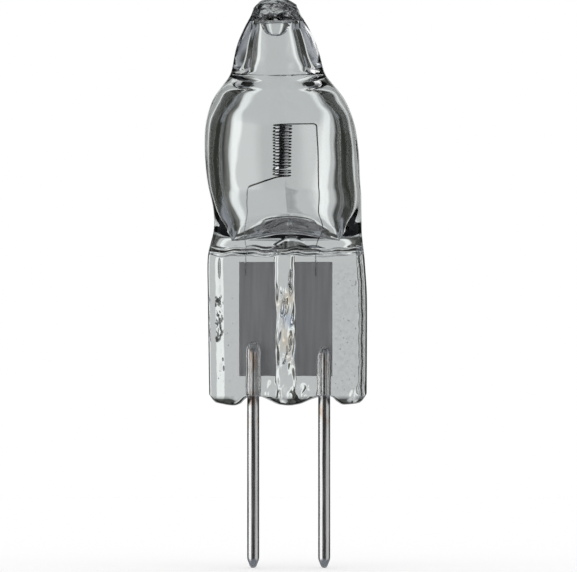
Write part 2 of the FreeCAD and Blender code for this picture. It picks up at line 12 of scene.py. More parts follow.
import bmesh
import bpy
import numpy as np
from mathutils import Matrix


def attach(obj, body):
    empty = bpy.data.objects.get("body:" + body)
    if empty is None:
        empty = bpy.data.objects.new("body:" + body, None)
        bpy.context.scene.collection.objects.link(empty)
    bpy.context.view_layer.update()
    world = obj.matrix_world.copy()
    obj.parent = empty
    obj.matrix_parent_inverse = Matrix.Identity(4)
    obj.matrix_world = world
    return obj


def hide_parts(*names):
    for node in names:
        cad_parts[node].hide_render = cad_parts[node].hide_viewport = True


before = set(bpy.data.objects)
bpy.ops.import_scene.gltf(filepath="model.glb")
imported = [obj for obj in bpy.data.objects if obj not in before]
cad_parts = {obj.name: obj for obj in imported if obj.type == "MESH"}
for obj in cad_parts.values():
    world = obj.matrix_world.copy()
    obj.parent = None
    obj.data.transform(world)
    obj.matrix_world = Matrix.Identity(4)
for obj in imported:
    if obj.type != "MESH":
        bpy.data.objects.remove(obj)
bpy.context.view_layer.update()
MM = 0.001
print("pieces in the frame:", sorted(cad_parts))

# %% [markdown]
# ## Curves through a few sizes
# Blown glass has no corners, so its width and depth change smoothly from one height to the next.
# A spline drawn by hand in the viewport would do, but it can overshoot between its points and
# leave a bulge that the glass doesn't have. This curve keeps between its neighbours: its slope
# at a point is the harmonic mean of the slopes on both sides, and flat at a widest place.


# %% Smooth curves and steps
EASE_SAMPLES = 13


def through(stations, place):
    """The value at a place on the smooth curve through (place, value) pairs."""
    places, values = (np.array(column, float) for column in zip(*sorted(stations)))
    rise = np.diff(values) / np.diff(places)
    slope = np.zeros(len(places))
    turning = rise[:-1] * rise[1:] <= 0
    mean = 2 * rise[:-1] * rise[1:] / np.where(turning, 1.0, rise[:-1] + rise[1:])
    slope[1:-1] = np.where(turning, 0.0, mean)
    slope[0], slope[-1] = rise[0], rise[-1]
    at = np.clip(np.asarray(place, float), places[0], places[-1])
    i = np.clip(np.searchsorted(places, at) - 1, 0, len(rise) - 1)
    step = places[i + 1] - places[i]
    t = (at - places[i]) / step
    start = values[i] * (1 + 2 * t) * (1 - t) ** 2 + values[i + 1] * t * t * (3 - 2 * t)
    return start + step * (slope[i] * t * (1 - t) ** 2 - slope[i + 1] * t * t * (1 - t))


def eased_through(stations, place, blend):
    """The same curve averaged over a short stretch, so that its bends have no seams."""
    offsets = np.linspace(-2, 2, EASE_SAMPLES)
    weights = np.exp(-(offsets ** 2) / 2)
    samples = [through(stations, place + blend * offset) for offset in offsets]
    return sum(w * s for w, s in zip(weights, samples)) / weights.sum()


def smooth_step(low, high, value):
    """0 below low, 1 above high, and a smooth S between."""
    t = np.clip((np.asarray(value, float) - low) / (high - low), 0, 1)
    return t * t * (3 - 2 * t)


def soft_larger(a, b, blend):
    """The larger of two values, with a fillet where they meet."""
    share = np.clip(0.5 + (a - b) / (2 * blend), 0, 1)
    return b + (a - b) * share + blend * share * (1 - share)


def hill(place, middle, spread):
    """A smooth hill, 1 high, at a place."""
    return np.exp(-(((place - middle) / spread) ** 2))


def waves(parts, place, face=0):
    """A sum of waves: the height, rate and start of each, and the start's shift by face."""
    return sum(
        height * np.sin(rate * place + start + shift * face)
        for height, rate, start, shift in parts
    )


# %% [markdown]
# ## The outline of the glass
# The whole envelope is one skin of glass, so it is one mesh. Its half width and the middle of
# each level follow the outline that the lamp shows from the front. The bulb leans a little to
# the left, as many do, because the tube was still soft when its tip was melted off. The depth
# equals the width in the bulb and falls to the thickness of the seal between the jaws.

# %% Sizes of the outside, in millimetres above the seating plane
PINCH_HALF_WIDTH = 4.465
PINCH_MIDDLE = -0.05
LEDGE = 8.62
HALF_WIDTHS = [
    (0.0, 4.42), (2.5, 4.45), (6.0, 4.475), (8.2, 4.42), (9.1, 4.3), (10.0, 4.16), (10.9, 4.17),
    (12.2, 4.28), (14.06, 4.345), (15.41, 4.27), (16.31, 4.08), (17.27, 3.71), (17.9, 3.25),
    (18.35, 2.87), (18.66, 2.65), (19.46, 2.47), (20.14, 2.31), (20.82, 2.05), (21.49, 1.71),
    (22.17, 1.27),
]
MIDDLES = [
    (0.0, -0.04), (6.0, -0.07), (8.5, -0.15), (10.2, -0.04), (11.2, -0.08), (12.7, -0.29),
    (14.06, -0.38), (17.27, -0.56), (20.14, -0.66), (22.2, -0.72), (22.9, -0.8),
]
HALF_DEPTHS = [
    (8.0, 0.8), (8.5, 1.15), (8.75, 1.27), (9.2, 1.33), (9.6, 1.5), (9.95, 1.95), (10.4, 2.75),
    (10.9, 3.47), (11.4, 3.92), (12.2, 4.25), (13.2, 4.32),
]
# How square a level's section is: 2 is an ellipse, and 5 nearly fills its corners.
FULLNESS = [
    (8.0, 5.0), (8.8, 5.0), (9.5, 4.2), (10.0, 3.3), (10.6, 2.65), (11.3, 2.25), (12.3, 2.03),
    (13.2, 2.0),
]
ROUND_FROM = 13.2
WIDTH_EASE, MIDDLE_EASE, DEPTH_EASE, FULLNESS_EASE = 0.25, 0.3, 0.12, 0.15
bulb_half_width = max(half for level, half in HALF_WIDTHS if level > LEDGE)
print("the bulb is", 2 * bulb_half_width, "mm across")

# %% [markdown]
# ## The pressed seal
# The jaws leave a flat web, a thick rim at each side, where the glass had room to flow, and a
# rib in the middle of both faces. The left rim thins out towards the web, the right one ends in
# a bank, and the rib is lumpy along its middle stretch. The section is a depth for each place
# across. Banks and fillets are smooth steps, because hot glass never fills a sharp corner.

# %% The seal's section
BACK, FRONT = 1, -1
WEB_DEPTH = 1.2
RIM_ROUND = 0.24
LEFT_RIM, LEFT_RISE, LEFT_SHAPE = 0.86, 0.17, 0.9
RIGHT_RIM, RIGHT_RISE, RIGHT_BANK = 0.38, 0.32, 0.17
RIGHT_WAVES = [(0.015, 2.7, 0.0, 2), (0.012, 7.1, 0.0, 0)]
RIB_MIDDLE, RIB_WIDTH, RIB_RISE, RIB_BANK = -0.17, 1.02, 0.13, 0.13
RIB_TOP, RIB_TOP_BANK = 8.5, 0.12
RIB_WAVES = [(0.03, 1.7, 0.6, 1), (0.015, 6.1, 0.0, 0)]
DENT_DEPTH = 0.06


def left_rim(from_left, level, face):
    """Rise of the left rim, which thins out towards the web and ripples along the seal."""
    ripple = 1 + 0.12 * np.sin(2.3 * level + face) * np.sin(5 * level)
    return LEFT_RISE * np.clip(1 - from_left / LEFT_RIM, 0, 1) ** LEFT_SHAPE * ripple


def right_rim(from_right, level, face):
    """Rise of the right rim, which ends in a bank along a ragged line."""
    ragged = RIGHT_RIM + waves(RIGHT_WAVES, level, face)
    return RIGHT_RISE * (1 - smooth_step(ragged - RIGHT_BANK, ragged, from_right))


def rib(x, level, face):
    """Rise of the rib: a flat top between two banks, with lumps in its middle stretch."""
    across = np.abs(x - RIB_MIDDLE - waves(RIB_WAVES, level, face))
    flat = 1 - smooth_step(RIB_WIDTH / 2 - RIB_BANK, RIB_WIDTH / 2, across)
    lump = 0.045 * np.sin(1.9 * level + 7 * x + face) + 0.03 * np.sin(3.1 * level - 13 * x)
    lump = lump * smooth_step(1.2, 2.4, level) * (1 - smooth_step(6.2, 7.2, level))
    return (RIB_RISE + lump) * flat * (1 - smooth_step(RIB_TOP - RIB_TOP_BANK, RIB_TOP, level))


def dents(x, level, face):
    """Shallow dents above the foot, between the pins and at the right-hand corner."""
    between_pins = 1 - smooth_step(1.2, 1.7, np.abs(x))
    corner = smooth_step(2.9, 3.3, x)
    crossed = np.sin(5.5 * x + 2 * level + face) * np.sin(3 * level + 2 * x)
    dent = crossed + 0.6 * np.sin(9 * x - 4 * level)
    return DENT_DEPTH * dent * (between_pins + 0.8 * corner) * (1 - smooth_step(1.0, 1.7, level))


def pressed_depth(x, level, face):
    """Half the thickness of the pressed seal at a place across and a height, on one face."""
    from_left = x - (PINCH_MIDDLE - PINCH_HALF_WIDTH)
    from_right = (PINCH_MIDDLE + PINCH_HALF_WIDTH) - x
    depth = WEB_DEPTH + left_rim(from_left, level, face) + right_rim(from_right, level, face)
    depth = depth + rib(x, level, face) + dents(x, level, face)
    edge = np.clip(np.minimum(from_left, from_right), 0, RIM_ROUND)
    return depth - RIM_ROUND + np.sqrt(RIM_ROUND ** 2 - (RIM_ROUND - edge) ** 2)


# %% [markdown]
# ## The lobed foot
# Below, the glass hangs in three lobes, with a notch where each pin leaves it, and both lower
# corners are round. The foot is a height for each place across: every level near the foot
# follows it, and levels higher up come back to the horizontal.

# %% The foot's line
PIN_HALF_SPACING = 2.0
PIN_RADIUS = 0.34
CORNER_ROUND = 0.95
FOOT_LEVEL = 0.6
FOOT_ROUND = 1.12
FOOT_LINE = [
    (-4.5, 0.3), (-3.9, 0.12), (-3.1, 0.0), (-2.7, 0.12), (-2.36, 0.47), (-1.6, 0.5), (-1.1, 0.3),
    (-0.55, 0.06), (0.0, 0.0), (0.6, 0.08), (1.2, 0.32), (1.62, 0.46), (2.36, 0.56), (2.7, 0.24),
    (3.1, 0.05), (3.7, 0.1), (4.4, 0.3),
]


def foot_line(x):
    """Height of the lowest glass at a place across."""
    from_side = np.minimum(
        x - (PINCH_MIDDLE - PINCH_HALF_WIDTH), (PINCH_MIDDLE + PINCH_HALF_WIDTH) - x
    )
    corner = np.clip(CORNER_ROUND - from_side, 0, CORNER_ROUND)
    round_rise = CORNER_ROUND - np.sqrt(CORNER_ROUND ** 2 - corner ** 2)
    return np.maximum(through(FOOT_LINE, x), round_rise)


# %% [markdown]
# ## One level of the skin
# A level is a closed outline. Where the seal and the round shoulder meet, the outline is the
# larger of the two with a fillet, which is how the jaws leave a ledge. The ledge carries a bead
# with a groove above it, and stands up in a hump behind. Each outline is then cut into the same
# number of even steps, counted from the right-hand side, so that neighbouring levels join in
# clean four-sided faces.

# %% Outlines and their even steps
COLUMNS = 208
FINE = 900
LEDGE_FILLET, LEDGE_BANK = 0.16, 0.7
LEDGE_WAVES = [(0.05, 2.1, 0.5, 0), (0.035, 5.3, 0.0, 1)]
HUMP_MIDDLE, HUMP_SPREAD, HUMP_RISE = 0.19, 0.85, 0.4
BEAD_RISE, BEAD_SPREAD, BEAD_HUMP_SPREAD = 0.19, 0.1, 0.22
BEAD_WAVES = [(0.35, 1.9, 0.7, 1), (0.25, 4.7, 0.0, -1)]
GROOVE_DEPTH, GROOVE_PLACE = 0.13, 2.4
GROOVE_WAVES = [(0.7, 2.3, 0.0, 2)]


def humped(x, face):
    """From 0 to 1, how far the ledge stands up in the middle, which it does behind only."""
    return hill(x, HUMP_MIDDLE, HUMP_SPREAD) if face == BACK else 0.0 * x


def ledge_line(x, face):
    """Height of the ledge that the jaws left, wavy in front and humped behind."""
    return LEDGE + waves(LEDGE_WAVES, x, face) + HUMP_RISE * humped(x, face)


def bead(x, above, face):
    """Relief of the bead that rolled up at the ledge, and of the groove above it."""
    height = above / (BEAD_SPREAD + BEAD_HUMP_SPREAD * humped(x, face))
    groove = GROOVE_DEPTH * hill(height, GROOVE_PLACE, 1) * (1 + waves(GROOVE_WAVES, x, face))
    return (BEAD_RISE * hill(height, 0, 1) - groove) * (1 + waves(BEAD_WAVES, x, face))


def face_depth(x, u, level, face):
    """Half the depth of one face, where the seal and the shoulder run into each other."""
    fullness = float(eased_through(FULLNESS, level, FULLNESS_EASE))
    deep = float(eased_through(HALF_DEPTHS, level, DEPTH_EASE))
    shoulder = deep * (1 - np.abs(u) ** fullness) ** (1 / fullness)
    ledge = ledge_line(x, face)
    pressed = pressed_depth(x, level, face)
    pressed = pressed * (1 - smooth_step(ledge, ledge + LEDGE_BANK, level))
    off_edge = 1 - np.abs(u) ** 8
    return soft_larger(shoulder, pressed, LEDGE_FILLET) + bead(x, level - ledge, face) * off_edge


def outline(level):
    """Both faces of the outside at a level: places across and depths, from right to left."""
    half = float(eased_through(HALF_WIDTHS, level, WIDTH_EASE))
    middle = float(eased_through(MIDDLES, level, MIDDLE_EASE))
    turn = np.linspace(0, math.pi, FINE)
    u = np.cos(turn)
    if level > ROUND_FROM:
        return middle + half * u, half * np.sin(turn), half * np.sin(turn)
    x = PINCH_MIDDLE + PINCH_HALF_WIDTH * u
    return middle + half * u, face_depth(x, u, level, BACK), face_depth(x, u, level, FRONT)


def even_steps(across, back, front, columns):
    """A closed outline cut into even steps, back face first, from its right-hand end."""
    x = np.concatenate([across, across[::-1]])
    y = np.concatenate([back, -front[::-1]])
    x, y = np.append(x, x[0]), np.append(y, y[0])
    run = np.concatenate([[0], np.cumsum(np.hypot(np.diff(x), np.diff(y)))])
    at = np.arange(columns) / columns * run[-1]
    return np.interp(at, run, x), np.interp(at, run, y)


# %% [markdown]
# ## A mesh from levels
# Every skin here is a stack of closed rings: the outside, the cavity, the sockets of the pins.
# One helper joins the rings with quads and closes both ends. An end that shrinks to a seam or a
# point gets no face: its doubled corners are merged, and that alone closes it.


# %% Rings to mesh
# Corners closer than the first are merged, and edges shorter than the second go, in metres.
DOUBLED, TOO_SHORT = 1e-7, 1e-8


def skin(rings, inward=False, foot_seam=False):
    """Vertices and faces of a closed skin through a stack of rings, lowest first.

    With foot_seam the lowest ring is a seam, which merging closes.
    """
    count = len(rings[0])
    vertices = [tuple(p) for ring in rings for p in ring]
    faces = []
    for i in range(len(rings) - 1):
        for k in range(count):
            a, b = i * count + k, i * count + (k + 1) % count
            faces.append((a, b, b + count, a + count))
    top = (len(rings) - 1) * count
    if not foot_seam:
        faces.append(tuple(range(count))[::-1])
    faces.append(tuple(range(top, top + count)))
    if inward:
        faces = [face[::-1] for face in faces]
    return vertices, faces


def make_mesh(name, skins, material):
    """One object from several closed skins, in millimetres, with doubled corners merged."""
    mesh = bpy.data.meshes.new(name)
    vertices, faces = [], []
    for some_vertices, some_faces in skins:
        start = len(vertices)
        vertices += some_vertices
        faces += [tuple(start + v for v in face) for face in some_faces]
    mesh.from_pydata([(x * MM, y * MM, z * MM) for x, y, z in vertices], [], faces)
    work = bmesh.new()
    work.from_mesh(mesh)
    bmesh.ops.remove_doubles(work, verts=work.verts, dist=DOUBLED)
    bmesh.ops.dissolve_degenerate(work, dist=TOO_SHORT, edges=work.edges)
    work.to_mesh(mesh)
    work.free()
    mesh.polygons.foreach_set("use_smooth", [True] * len(mesh.polygons))
    mesh.materials.append(material)
    piece = bpy.data.objects.new(name, mesh)
    bpy.context.scene.collection.objects.link(piece)
    print(name, "has", len(mesh.polygons), "faces")
    return piece


# %% [markdown]
# ## The outside skin
# Levels are closest together where the glass curves most: at the foot, at the ledge and at the
# melted tip. The foot is closed along a seam, front to back. The tip is a rough nub where the
# exhaust tube was melted off, so its levels are pushed about a little, more towards the top.

# %% Levels of the outside
TIP_BASE = 22.17
TIP_TOP = 22.98
TIP_LEVELS, TIP_TAPER, TIP_SWAY, TIP_ROUGH = 26, 0.27, 0.05, 0.05
LUMP_WAVES, LUMP_SIZE = 8, 0.02
FOOT_FADE = 0.6
FOOT_FLAT_RINGS, FOOT_ROUND_RINGS = 6, 14
# Where the seal, the ledge, the shoulder and the bulb start, and how many levels each has.
STRETCHES = [(FOOT_LEVEL, 62), (LEDGE - 0.3, 36), (LEDGE + 0.9, 44), (ROUND_FROM, 96)]


def level_list():
    """Heights of the levels, from the top of the foot to the base of the tip."""
    levels = []
    ends = [start for start, _ in STRETCHES[1:]] + [TIP_BASE]
    for (start, count), end in zip(STRETCHES, ends):
        levels += list(np.linspace(start, end, count, endpoint=end == TIP_BASE))
    return levels


def foot_rings():
    """Rings of the rounded foot, from the seam in the middle of the thickness outward."""
    rings = []
    x, y = even_steps(*outline(FOOT_LEVEL), COLUMNS)
    low = foot_line(x)
    drop = np.maximum(FOOT_LEVEL - low, 0.0)
    inner = np.maximum(np.abs(y) - FOOT_ROUND, 0.0)
    opposite = -np.arange(COLUMNS) % COLUMNS
    seam = (x + x[opposite]) / 2
    for share in np.linspace(0, 1, FOOT_FLAT_RINGS, endpoint=False):
        across = seam + (x - seam) * share
        rings.append(np.stack([across, np.sign(y) * inner * share, foot_line(across)], axis=1))
    for turn in np.linspace(0, math.pi / 2, FOOT_ROUND_RINGS, endpoint=False):
        out = np.minimum(np.abs(y), inner + FOOT_ROUND * math.sin(turn))
        rings.append(np.stack([x, np.sign(y) * out, low + drop * (1 - math.cos(turn))], axis=1))
    return rings


def outside_rings():
    """The whole outside, from the seam of the foot to the top of the tip."""
    rings = foot_rings()
    for level in level_list():
        x, y = even_steps(*outline(level), COLUMNS)
        follow = 1 - smooth_step(FOOT_LEVEL, FOOT_LEVEL + FOOT_FADE, level)
        lift = np.maximum(foot_line(x) - FOOT_LEVEL, 0.0)
        rings.append(np.stack([x, y, level + follow * lift], axis=1))
    return rings + tip_rings(rings[-1])


def tip_rings(base):
    """The melted nub on top, with a rough skin."""
    wander = random.Random(4)
    phases = [wander.uniform(0, 2 * math.pi) for _ in range(LUMP_WAVES)]
    middle = base.mean(axis=0)
    rings = []
    turn = np.arange(COLUMNS) / COLUMNS * 2 * math.pi
    for t in np.linspace(0.04, 1, TIP_LEVELS):
        size = math.sqrt(max(1 - t ** 4, 0.0)) * (1 - TIP_TAPER * t)
        lumps = sum(
            LUMP_SIZE * np.sin((k + 2) * turn + phases[k] + 5 * t * (k - 3))
            for k in range(LUMP_WAVES)
        )
        swell = size * (1 + lumps * t)
        x = middle[0] - TIP_SWAY * t + (base[:, 0] - middle[0]) * swell
        y = (base[:, 1] - middle[1]) * swell
        rough = TIP_ROUGH * t * size * np.sin(3 * turn + phases[0])
        rings.append(np.stack([x, y, middle[2] + (TIP_TOP - middle[2]) * t + rough], axis=1))
    return rings


outside = outside_rings()
print("the outside has", len(outside), "levels of", COLUMNS, "corners")

# %% [markdown]
# ## The cavity
# The bore is a lens as much as a hollow: what shows as dark and bright bands inside the bulb is
# its wall, bent light and all. It is round in the bulb, narrows to a ridge where the exhaust
# tube was fused on, opens into a sharp ring above it and runs up the stub as a closed channel.
# Below, the jaws pressed it into a narrow trough over a humped floor.

# %% Sizes of the bore
# Half widths by level, from the floor of the trough to the neck.
BORE_BELOW = [
    (9.35, 2.95), (9.8, 3.1), (10.3, 3.24), (11.0, 3.35), (12.0, 3.43), (14.4, 3.48), (15.6, 3.4),
    (16.3, 3.24), (16.76, 3.02), (17.2, 2.7), (17.55, 2.34), (17.8, 2.02), (17.95, 1.84),
]
# Half depths, front to back, above the trough.
BORE_SPANS = [
    (12.2, 3.44), (14.4, 3.48), (15.6, 3.4), (16.31, 3.2), (17.27, 2.62), (17.9, 2.02),
    (18.35, 1.54), (18.66, 1.26), (18.95, 1.1), (19.46, 0.98), (20.1, 0.9), (21.0, 0.8),
]
RIDGE_LEVEL, RIDGE_RISE, RIDGE_SPREAD = 18.42, 0.06, 0.07
# Half widths of the ring above the neck, and of the channel above that.
BORE_RING = [(17.95, 1.84), (18.32, 2.08)]
BORE_STUB = [(18.32, 2.08), (18.6, 1.72), (18.95, 1.44), (19.5, 1.25), (20.1, 1.15), (21.0, 1.0)]
# Half depths of the trough.
BORE_DEPTHS = [
    (9.35, 0.0), (9.42, 0.25), (9.6, 0.5), (9.95, 1.0), (10.4, 1.8), (10.9, 2.55), (11.4, 3.02),
    (12.2, 3.44),
]
BORE_FULLNESS = [(9.35, 2.6), (10.0, 2.8), (10.6, 2.5), (11.3, 2.2), (12.2, 2.0)]
BORE_SHIFTS = [(9.35, -0.08), (12.0, -0.12), (14.5, -0.06), (16.8, 0.03), (21.0, -0.04)]
BORE_ROUND_FROM = 12.2
# The channel's closed end, which domes back down: share of the last ring and height.
BORE_END = [
    (0.985, 21.25), (0.93, 21.42), (0.86, 21.5), (0.8, 21.42), (0.75, 21.2), (0.65, 20.9),
    (0.48, 20.66), (0.25, 20.54), (0.0, 20.5),
]
BORE_COLUMNS = 160
BORE_EASE, NECK_NEAR = 0.3, (16.9, 17.4)
FLOOR_RISE = 0.95
FLOOR_FADE = 1.8


def floor_line(x):
    """How much the humped floor of the cavity stands above its ends."""
    return FLOOR_RISE * (1 - smooth_step(-0.6, 3.1, np.abs(x - 0.05)))


def bore_level(level, half):
    """One ring of the cavity."""
    middle = float(eased_through(MIDDLES, level, MIDDLE_EASE) + through(BORE_SHIFTS, level))
    turn = np.linspace(0, math.pi, FINE)
    u = np.cos(turn)
    if level >= BORE_ROUND_FROM:
        ridge = RIDGE_RISE * hill(level, RIDGE_LEVEL, RIDGE_SPREAD)
        depth = (float(eased_through(BORE_SPANS, level, DEPTH_EASE)) - ridge) * np.sin(turn)
    else:
        fullness = float(through(BORE_FULLNESS, level))
        deep = float(through(BORE_DEPTHS, level))
        depth = deep * (1 - np.abs(u) ** fullness) ** (1 / fullness)
    x, y = even_steps(middle + half * u, depth, depth, BORE_COLUMNS)
    lowest = BORE_BELOW[0][0]
    follow = 1 - smooth_step(lowest, lowest + FLOOR_FADE, level)
    return np.stack([x, y, level + follow * floor_line(x)], axis=1)


def bore_half(level):
    """Half width of the bore below the neck, eased in the bulb and crisp near the neck."""
    near = smooth_step(*NECK_NEAR, level)
    eased = eased_through(BORE_BELOW, level, BORE_EASE)
    return float(eased * (1 - near) + through(BORE_BELOW, level) * near)


def bore_rings():
    """The cavity from its floor to the closed end of the channel."""
    lowest, neck = BORE_BELOW[0][0], BORE_BELOW[-1][0]
    ring, top = BORE_RING[-1][0], BORE_STUB[-1][0]
    rings = [bore_level(z, bore_half(z)) for z in np.linspace(lowest, lowest + 1, 24)]
    rings += [bore_level(z, bore_half(z)) for z in np.linspace(lowest + 1, neck, 90)[1:]]
    rings += [bore_level(z, float(through(BORE_RING, z))) for z in np.linspace(neck, ring, 8)[1:]]
    rings += [bore_level(z, float(through(BORE_STUB, z))) for z in np.linspace(ring, top, 40)[1:]]
    edge = rings[-1]
    middle = edge.mean(axis=0)
    for share, height in BORE_END:
        ring_points = middle + (edge - middle) * share
        ring_points[:, 2] = height
        rings.append(ring_points)
    return rings


cavity = bore_rings()
print("the cavity has", len(cavity), "levels of", BORE_COLUMNS, "corners")

# %% [markdown]
# ## Sockets of the pins
# Quartz doesn't stick to a thick pin, so each stands in a socket with a hair of air around it.
# That air turns the glass around the pin into a mirror, which gives the bright and dark lines
# beside it. A socket is a closed skin inside the glass, turned inward, with a round top.

# %% Socket skins
# Middle, radius and top of the left socket and the right one.
SOCKETS = [(-1.98, 0.43, 3.62), (1.99, 0.4, 3.35)]
SOCKET_FOOT = 0.52
SOCKET_ROUND = 0.7
SOCKET_SIDES, SOCKET_RINGS, SOCKET_DOME_RINGS = 40, 14, 10


def socket_rings(middle, radius, top):
    """The air around a pin: a slightly uneven tube with a round top."""
    turn = np.arange(SOCKET_SIDES) / SOCKET_SIDES * 2 * math.pi
    rings = []
    for z in np.linspace(SOCKET_FOOT, top - SOCKET_ROUND, SOCKET_RINGS):
        swell = radius * (1 + 0.04 * math.sin(3 * z + middle))
        rings.append([(middle + swell * math.cos(a), swell * math.sin(a), z) for a in turn])
    for t in np.linspace(0, math.pi / 2, SOCKET_DOME_RINGS)[1:]:
        r = swell * math.cos(t) ** 0.8 if t < math.pi / 2 - 1e-6 else 0.0
        z = top - SOCKET_ROUND + SOCKET_ROUND * math.sin(t)
        rings.append([(middle + r * math.cos(a), r * math.sin(a), z) for a in turn])
    return rings


sockets = [socket_rings(*socket) for socket in SOCKETS]
print(len(sockets), "sockets around the pins")

# %% [markdown]
# ## Airlines and seeds
# Quartz tube is drawn, so a bubble in it becomes a thin airline, and small seeds stay where the
# seal was pressed. Each is a tiny closed skin of air in the glass, turned inward like a socket.

# %% Bubbles
FLECKS, SEEDS = 16, 70
BUBBLE_SIDES, BUBBLE_RINGS = 12, 9
# Place, radius and half length of each.
AIRLINES = [
    (0.06, -0.45, 6.95, 0.09, 0.8), (-0.28, -0.2, 5.3, 0.05, 0.9), (-0.1, 0.3, 5.0, 0.05, 0.7),
    (0.14, -0.3, 3.75, 0.12, 0.36), (-0.12, -0.4, 3.1, 0.13, 0.3), (0.2, 0.1, 2.6, 0.04, 0.5),
    (-0.25, -0.1, 2.45, 0.08, 0.14), (-3.95, -0.5, 7.75, 0.09, 0.62), (-3.78, 0.2, 2.6, 0.07, 0.12),
    (-3.7, -0.3, 2.1, 0.07, 0.16), (3.78, -0.6, 6.9, 0.035, 0.14), (-0.64, 1.45, 20.55, 0.02, 0.28),
    (-0.66, 0.9, 21.85, 0.03, 0.25),
]


def bubble_rings(x, y, z, radius, half_length):
    """One bubble, longer upright than it is wide."""
    turn = np.arange(BUBBLE_SIDES) / BUBBLE_SIDES * 2 * math.pi
    return [
        [
            (
                x + radius * math.sin(t) * math.cos(a),
                y + radius * math.sin(t) * math.sin(a),
                z - half_length * math.cos(t),
            )
            for a in turn
        ]
        for t in np.linspace(0, math.pi, BUBBLE_RINGS)
    ]


def seeds():
    """Small bubbles: flecks in the left rim and fine seeds in the web."""
    draw = random.Random(11)
    found = []
    for _ in range(FLECKS):
        found.append((
            draw.uniform(-4.15, -3.72), draw.uniform(-0.9, 0.9), draw.uniform(3.5, 6.0),
            draw.uniform(0.03, 0.07), draw.uniform(0.05, 0.2),
        ))
    for _ in range(SEEDS):
        side = draw.choice((-1, 1, 1))
        size = draw.uniform(0.012, 0.03)
        found.append((
            side * draw.uniform(2.6, 4.0), draw.uniform(-1.0, 1.0), draw.uniform(0.8, 7.6), size,
            size * draw.uniform(1, 1.8),
        ))
    return found


bubbles = AIRLINES + seeds()
print(len(bubbles), "bubbles in the glass")

# %% [markdown]
# ## Finishes as nodes
# A material is a small graph of nodes. Blender's editor shows them as boxes and wires, and a
# script can add the same boxes. These helpers keep that short: a value is a number, a colour or
# another node's output, and places are in millimetres on the piece itself, so that a stain or a
# tint stays where it is on the lamp from every side.

# %% Node helpers
# A Mix node has sockets for each kind of value, and these are the ones for colours.
COLOUR_LOW, COLOUR_HIGH, COLOUR_RESULT = 6, 7, 2


class Graph:
    """The nodes of one material or world."""

    def __init__(self, owner):
        owner.use_nodes = True
        self.nodes, self.links = owner.node_tree.nodes, owner.node_tree.links

    def feed(self, value, socket):
        """Gives a socket a fixed value, or links another node's output to it."""
        if isinstance(value, bpy.types.NodeSocket):
            self.links.new(value, socket)
        elif isinstance(value, tuple):
            socket.default_value = (*value, 1.0)
        else:
            socket.default_value = value

    def math(self, operation, *values):
        """One of the Math node's operations."""
        node = self.nodes.new("ShaderNodeMath")
        node.operation = operation
        for place, value in enumerate(values):
            self.feed(value, node.inputs[place])
        return node.outputs[0]

    def minus(self, a, b):
        return self.math("SUBTRACT", a, b)

    def larger(self, a, b):
        return self.math("MAXIMUM", a, b)

    def times(self, first, *others):
        for other in others:
            first = self.math("MULTIPLY", first, other)
        return first

    def apart(self, value, number):
        """How far a value is from a number, on either side."""
        return self.math("ABSOLUTE", self.minus(value, number))

    def ramp(self, value, low, high, to_low=0.0, to_high=1.0):
        """Goes evenly from to_low to to_high while a value goes from low to high."""
        node = self.nodes.new("ShaderNodeMapRange")
        ends = {"From Min": low, "From Max": high, "To Min": to_low, "To Max": to_high}
        for name, number in ends.items():
            node.inputs[name].default_value = number
        self.feed(value, node.inputs["Value"])
        return node.outputs["Result"]

    def window(self, value, start, full, end, gone):
        """0 up to start, 1 from full to end, and 0 again from gone."""
        return self.times(self.ramp(value, start, full), self.ramp(value, end, gone, 1.0, 0.0))

    def mix(self, share, low, high):
        """A colour between two others."""
        node = self.nodes.new("ShaderNodeMix")
        node.data_type = "RGBA"
        self.feed(share, node.inputs["Factor"])
        self.feed(low, node.inputs[COLOUR_LOW])
        self.feed(high, node.inputs[COLOUR_HIGH])
        return node.outputs[COLOUR_RESULT]

    def grey(self, tone):
        """A colour without hue, from its tone."""
        node = self.nodes.new("ShaderNodeCombineColor")
        for channel in ("Red", "Green", "Blue"):
            self.feed(tone, node.inputs[channel])
        return node.outputs["Color"]

    def place(self):
        """The place on the piece: across, front to back and up, in millimetres."""
        place = self.nodes.new("ShaderNodeTexCoord")
        scaled = self.nodes.new("ShaderNodeVectorMath")
        scaled.operation = "SCALE"
        scaled.inputs["Scale"].default_value = 1 / MM
        split = self.nodes.new("ShaderNodeSeparateXYZ")
        self.links.new(place.outputs["Object"], scaled.inputs[0])
        self.links.new(scaled.outputs[0], split.inputs[0])
        return split.outputs["X"], split.outputs["Y"], split.outputs["Z"]

    def noise(self, scale, detail=3.0, squeeze=(1, 1, 1)):
        """A noise over the piece. It is drawn out along an axis whose squeeze is under 1."""
        place = self.nodes.new("ShaderNodeTexCoord")
        mapping = self.nodes.new("ShaderNodeMapping")
        mapping.inputs["Scale"].default_value = tuple(share / MM for share in squeeze)
        texture = self.nodes.new("ShaderNodeTexNoise")
        texture.inputs["Scale"].default_value = scale
        texture.inputs["Detail"].default_value = detail
        self.links.new(place.outputs["Object"], mapping.inputs["Vector"])
        self.links.new(mapping.outputs["Vector"], texture.inputs["Vector"])
        return texture.outputs["Fac"]

    def bump(self, height, distance, below=None):
        """Relief of up to a distance in millimetres, laid over another where one is given."""
        node = self.nodes.new("ShaderNodeBump")
        node.inputs["Distance"].default_value = distance * MM
        self.feed(height, node.inputs["Height"])
        if below is not None:
            self.feed(below, node.inputs["Normal"])
        return node.outputs["Normal"]


def new_material(name):
    """A material, its graph and its Principled shader."""
    material = bpy.data.materials.new(name)
    graph = Graph(material)
    return material, graph, graph.nodes["Principled BSDF"]


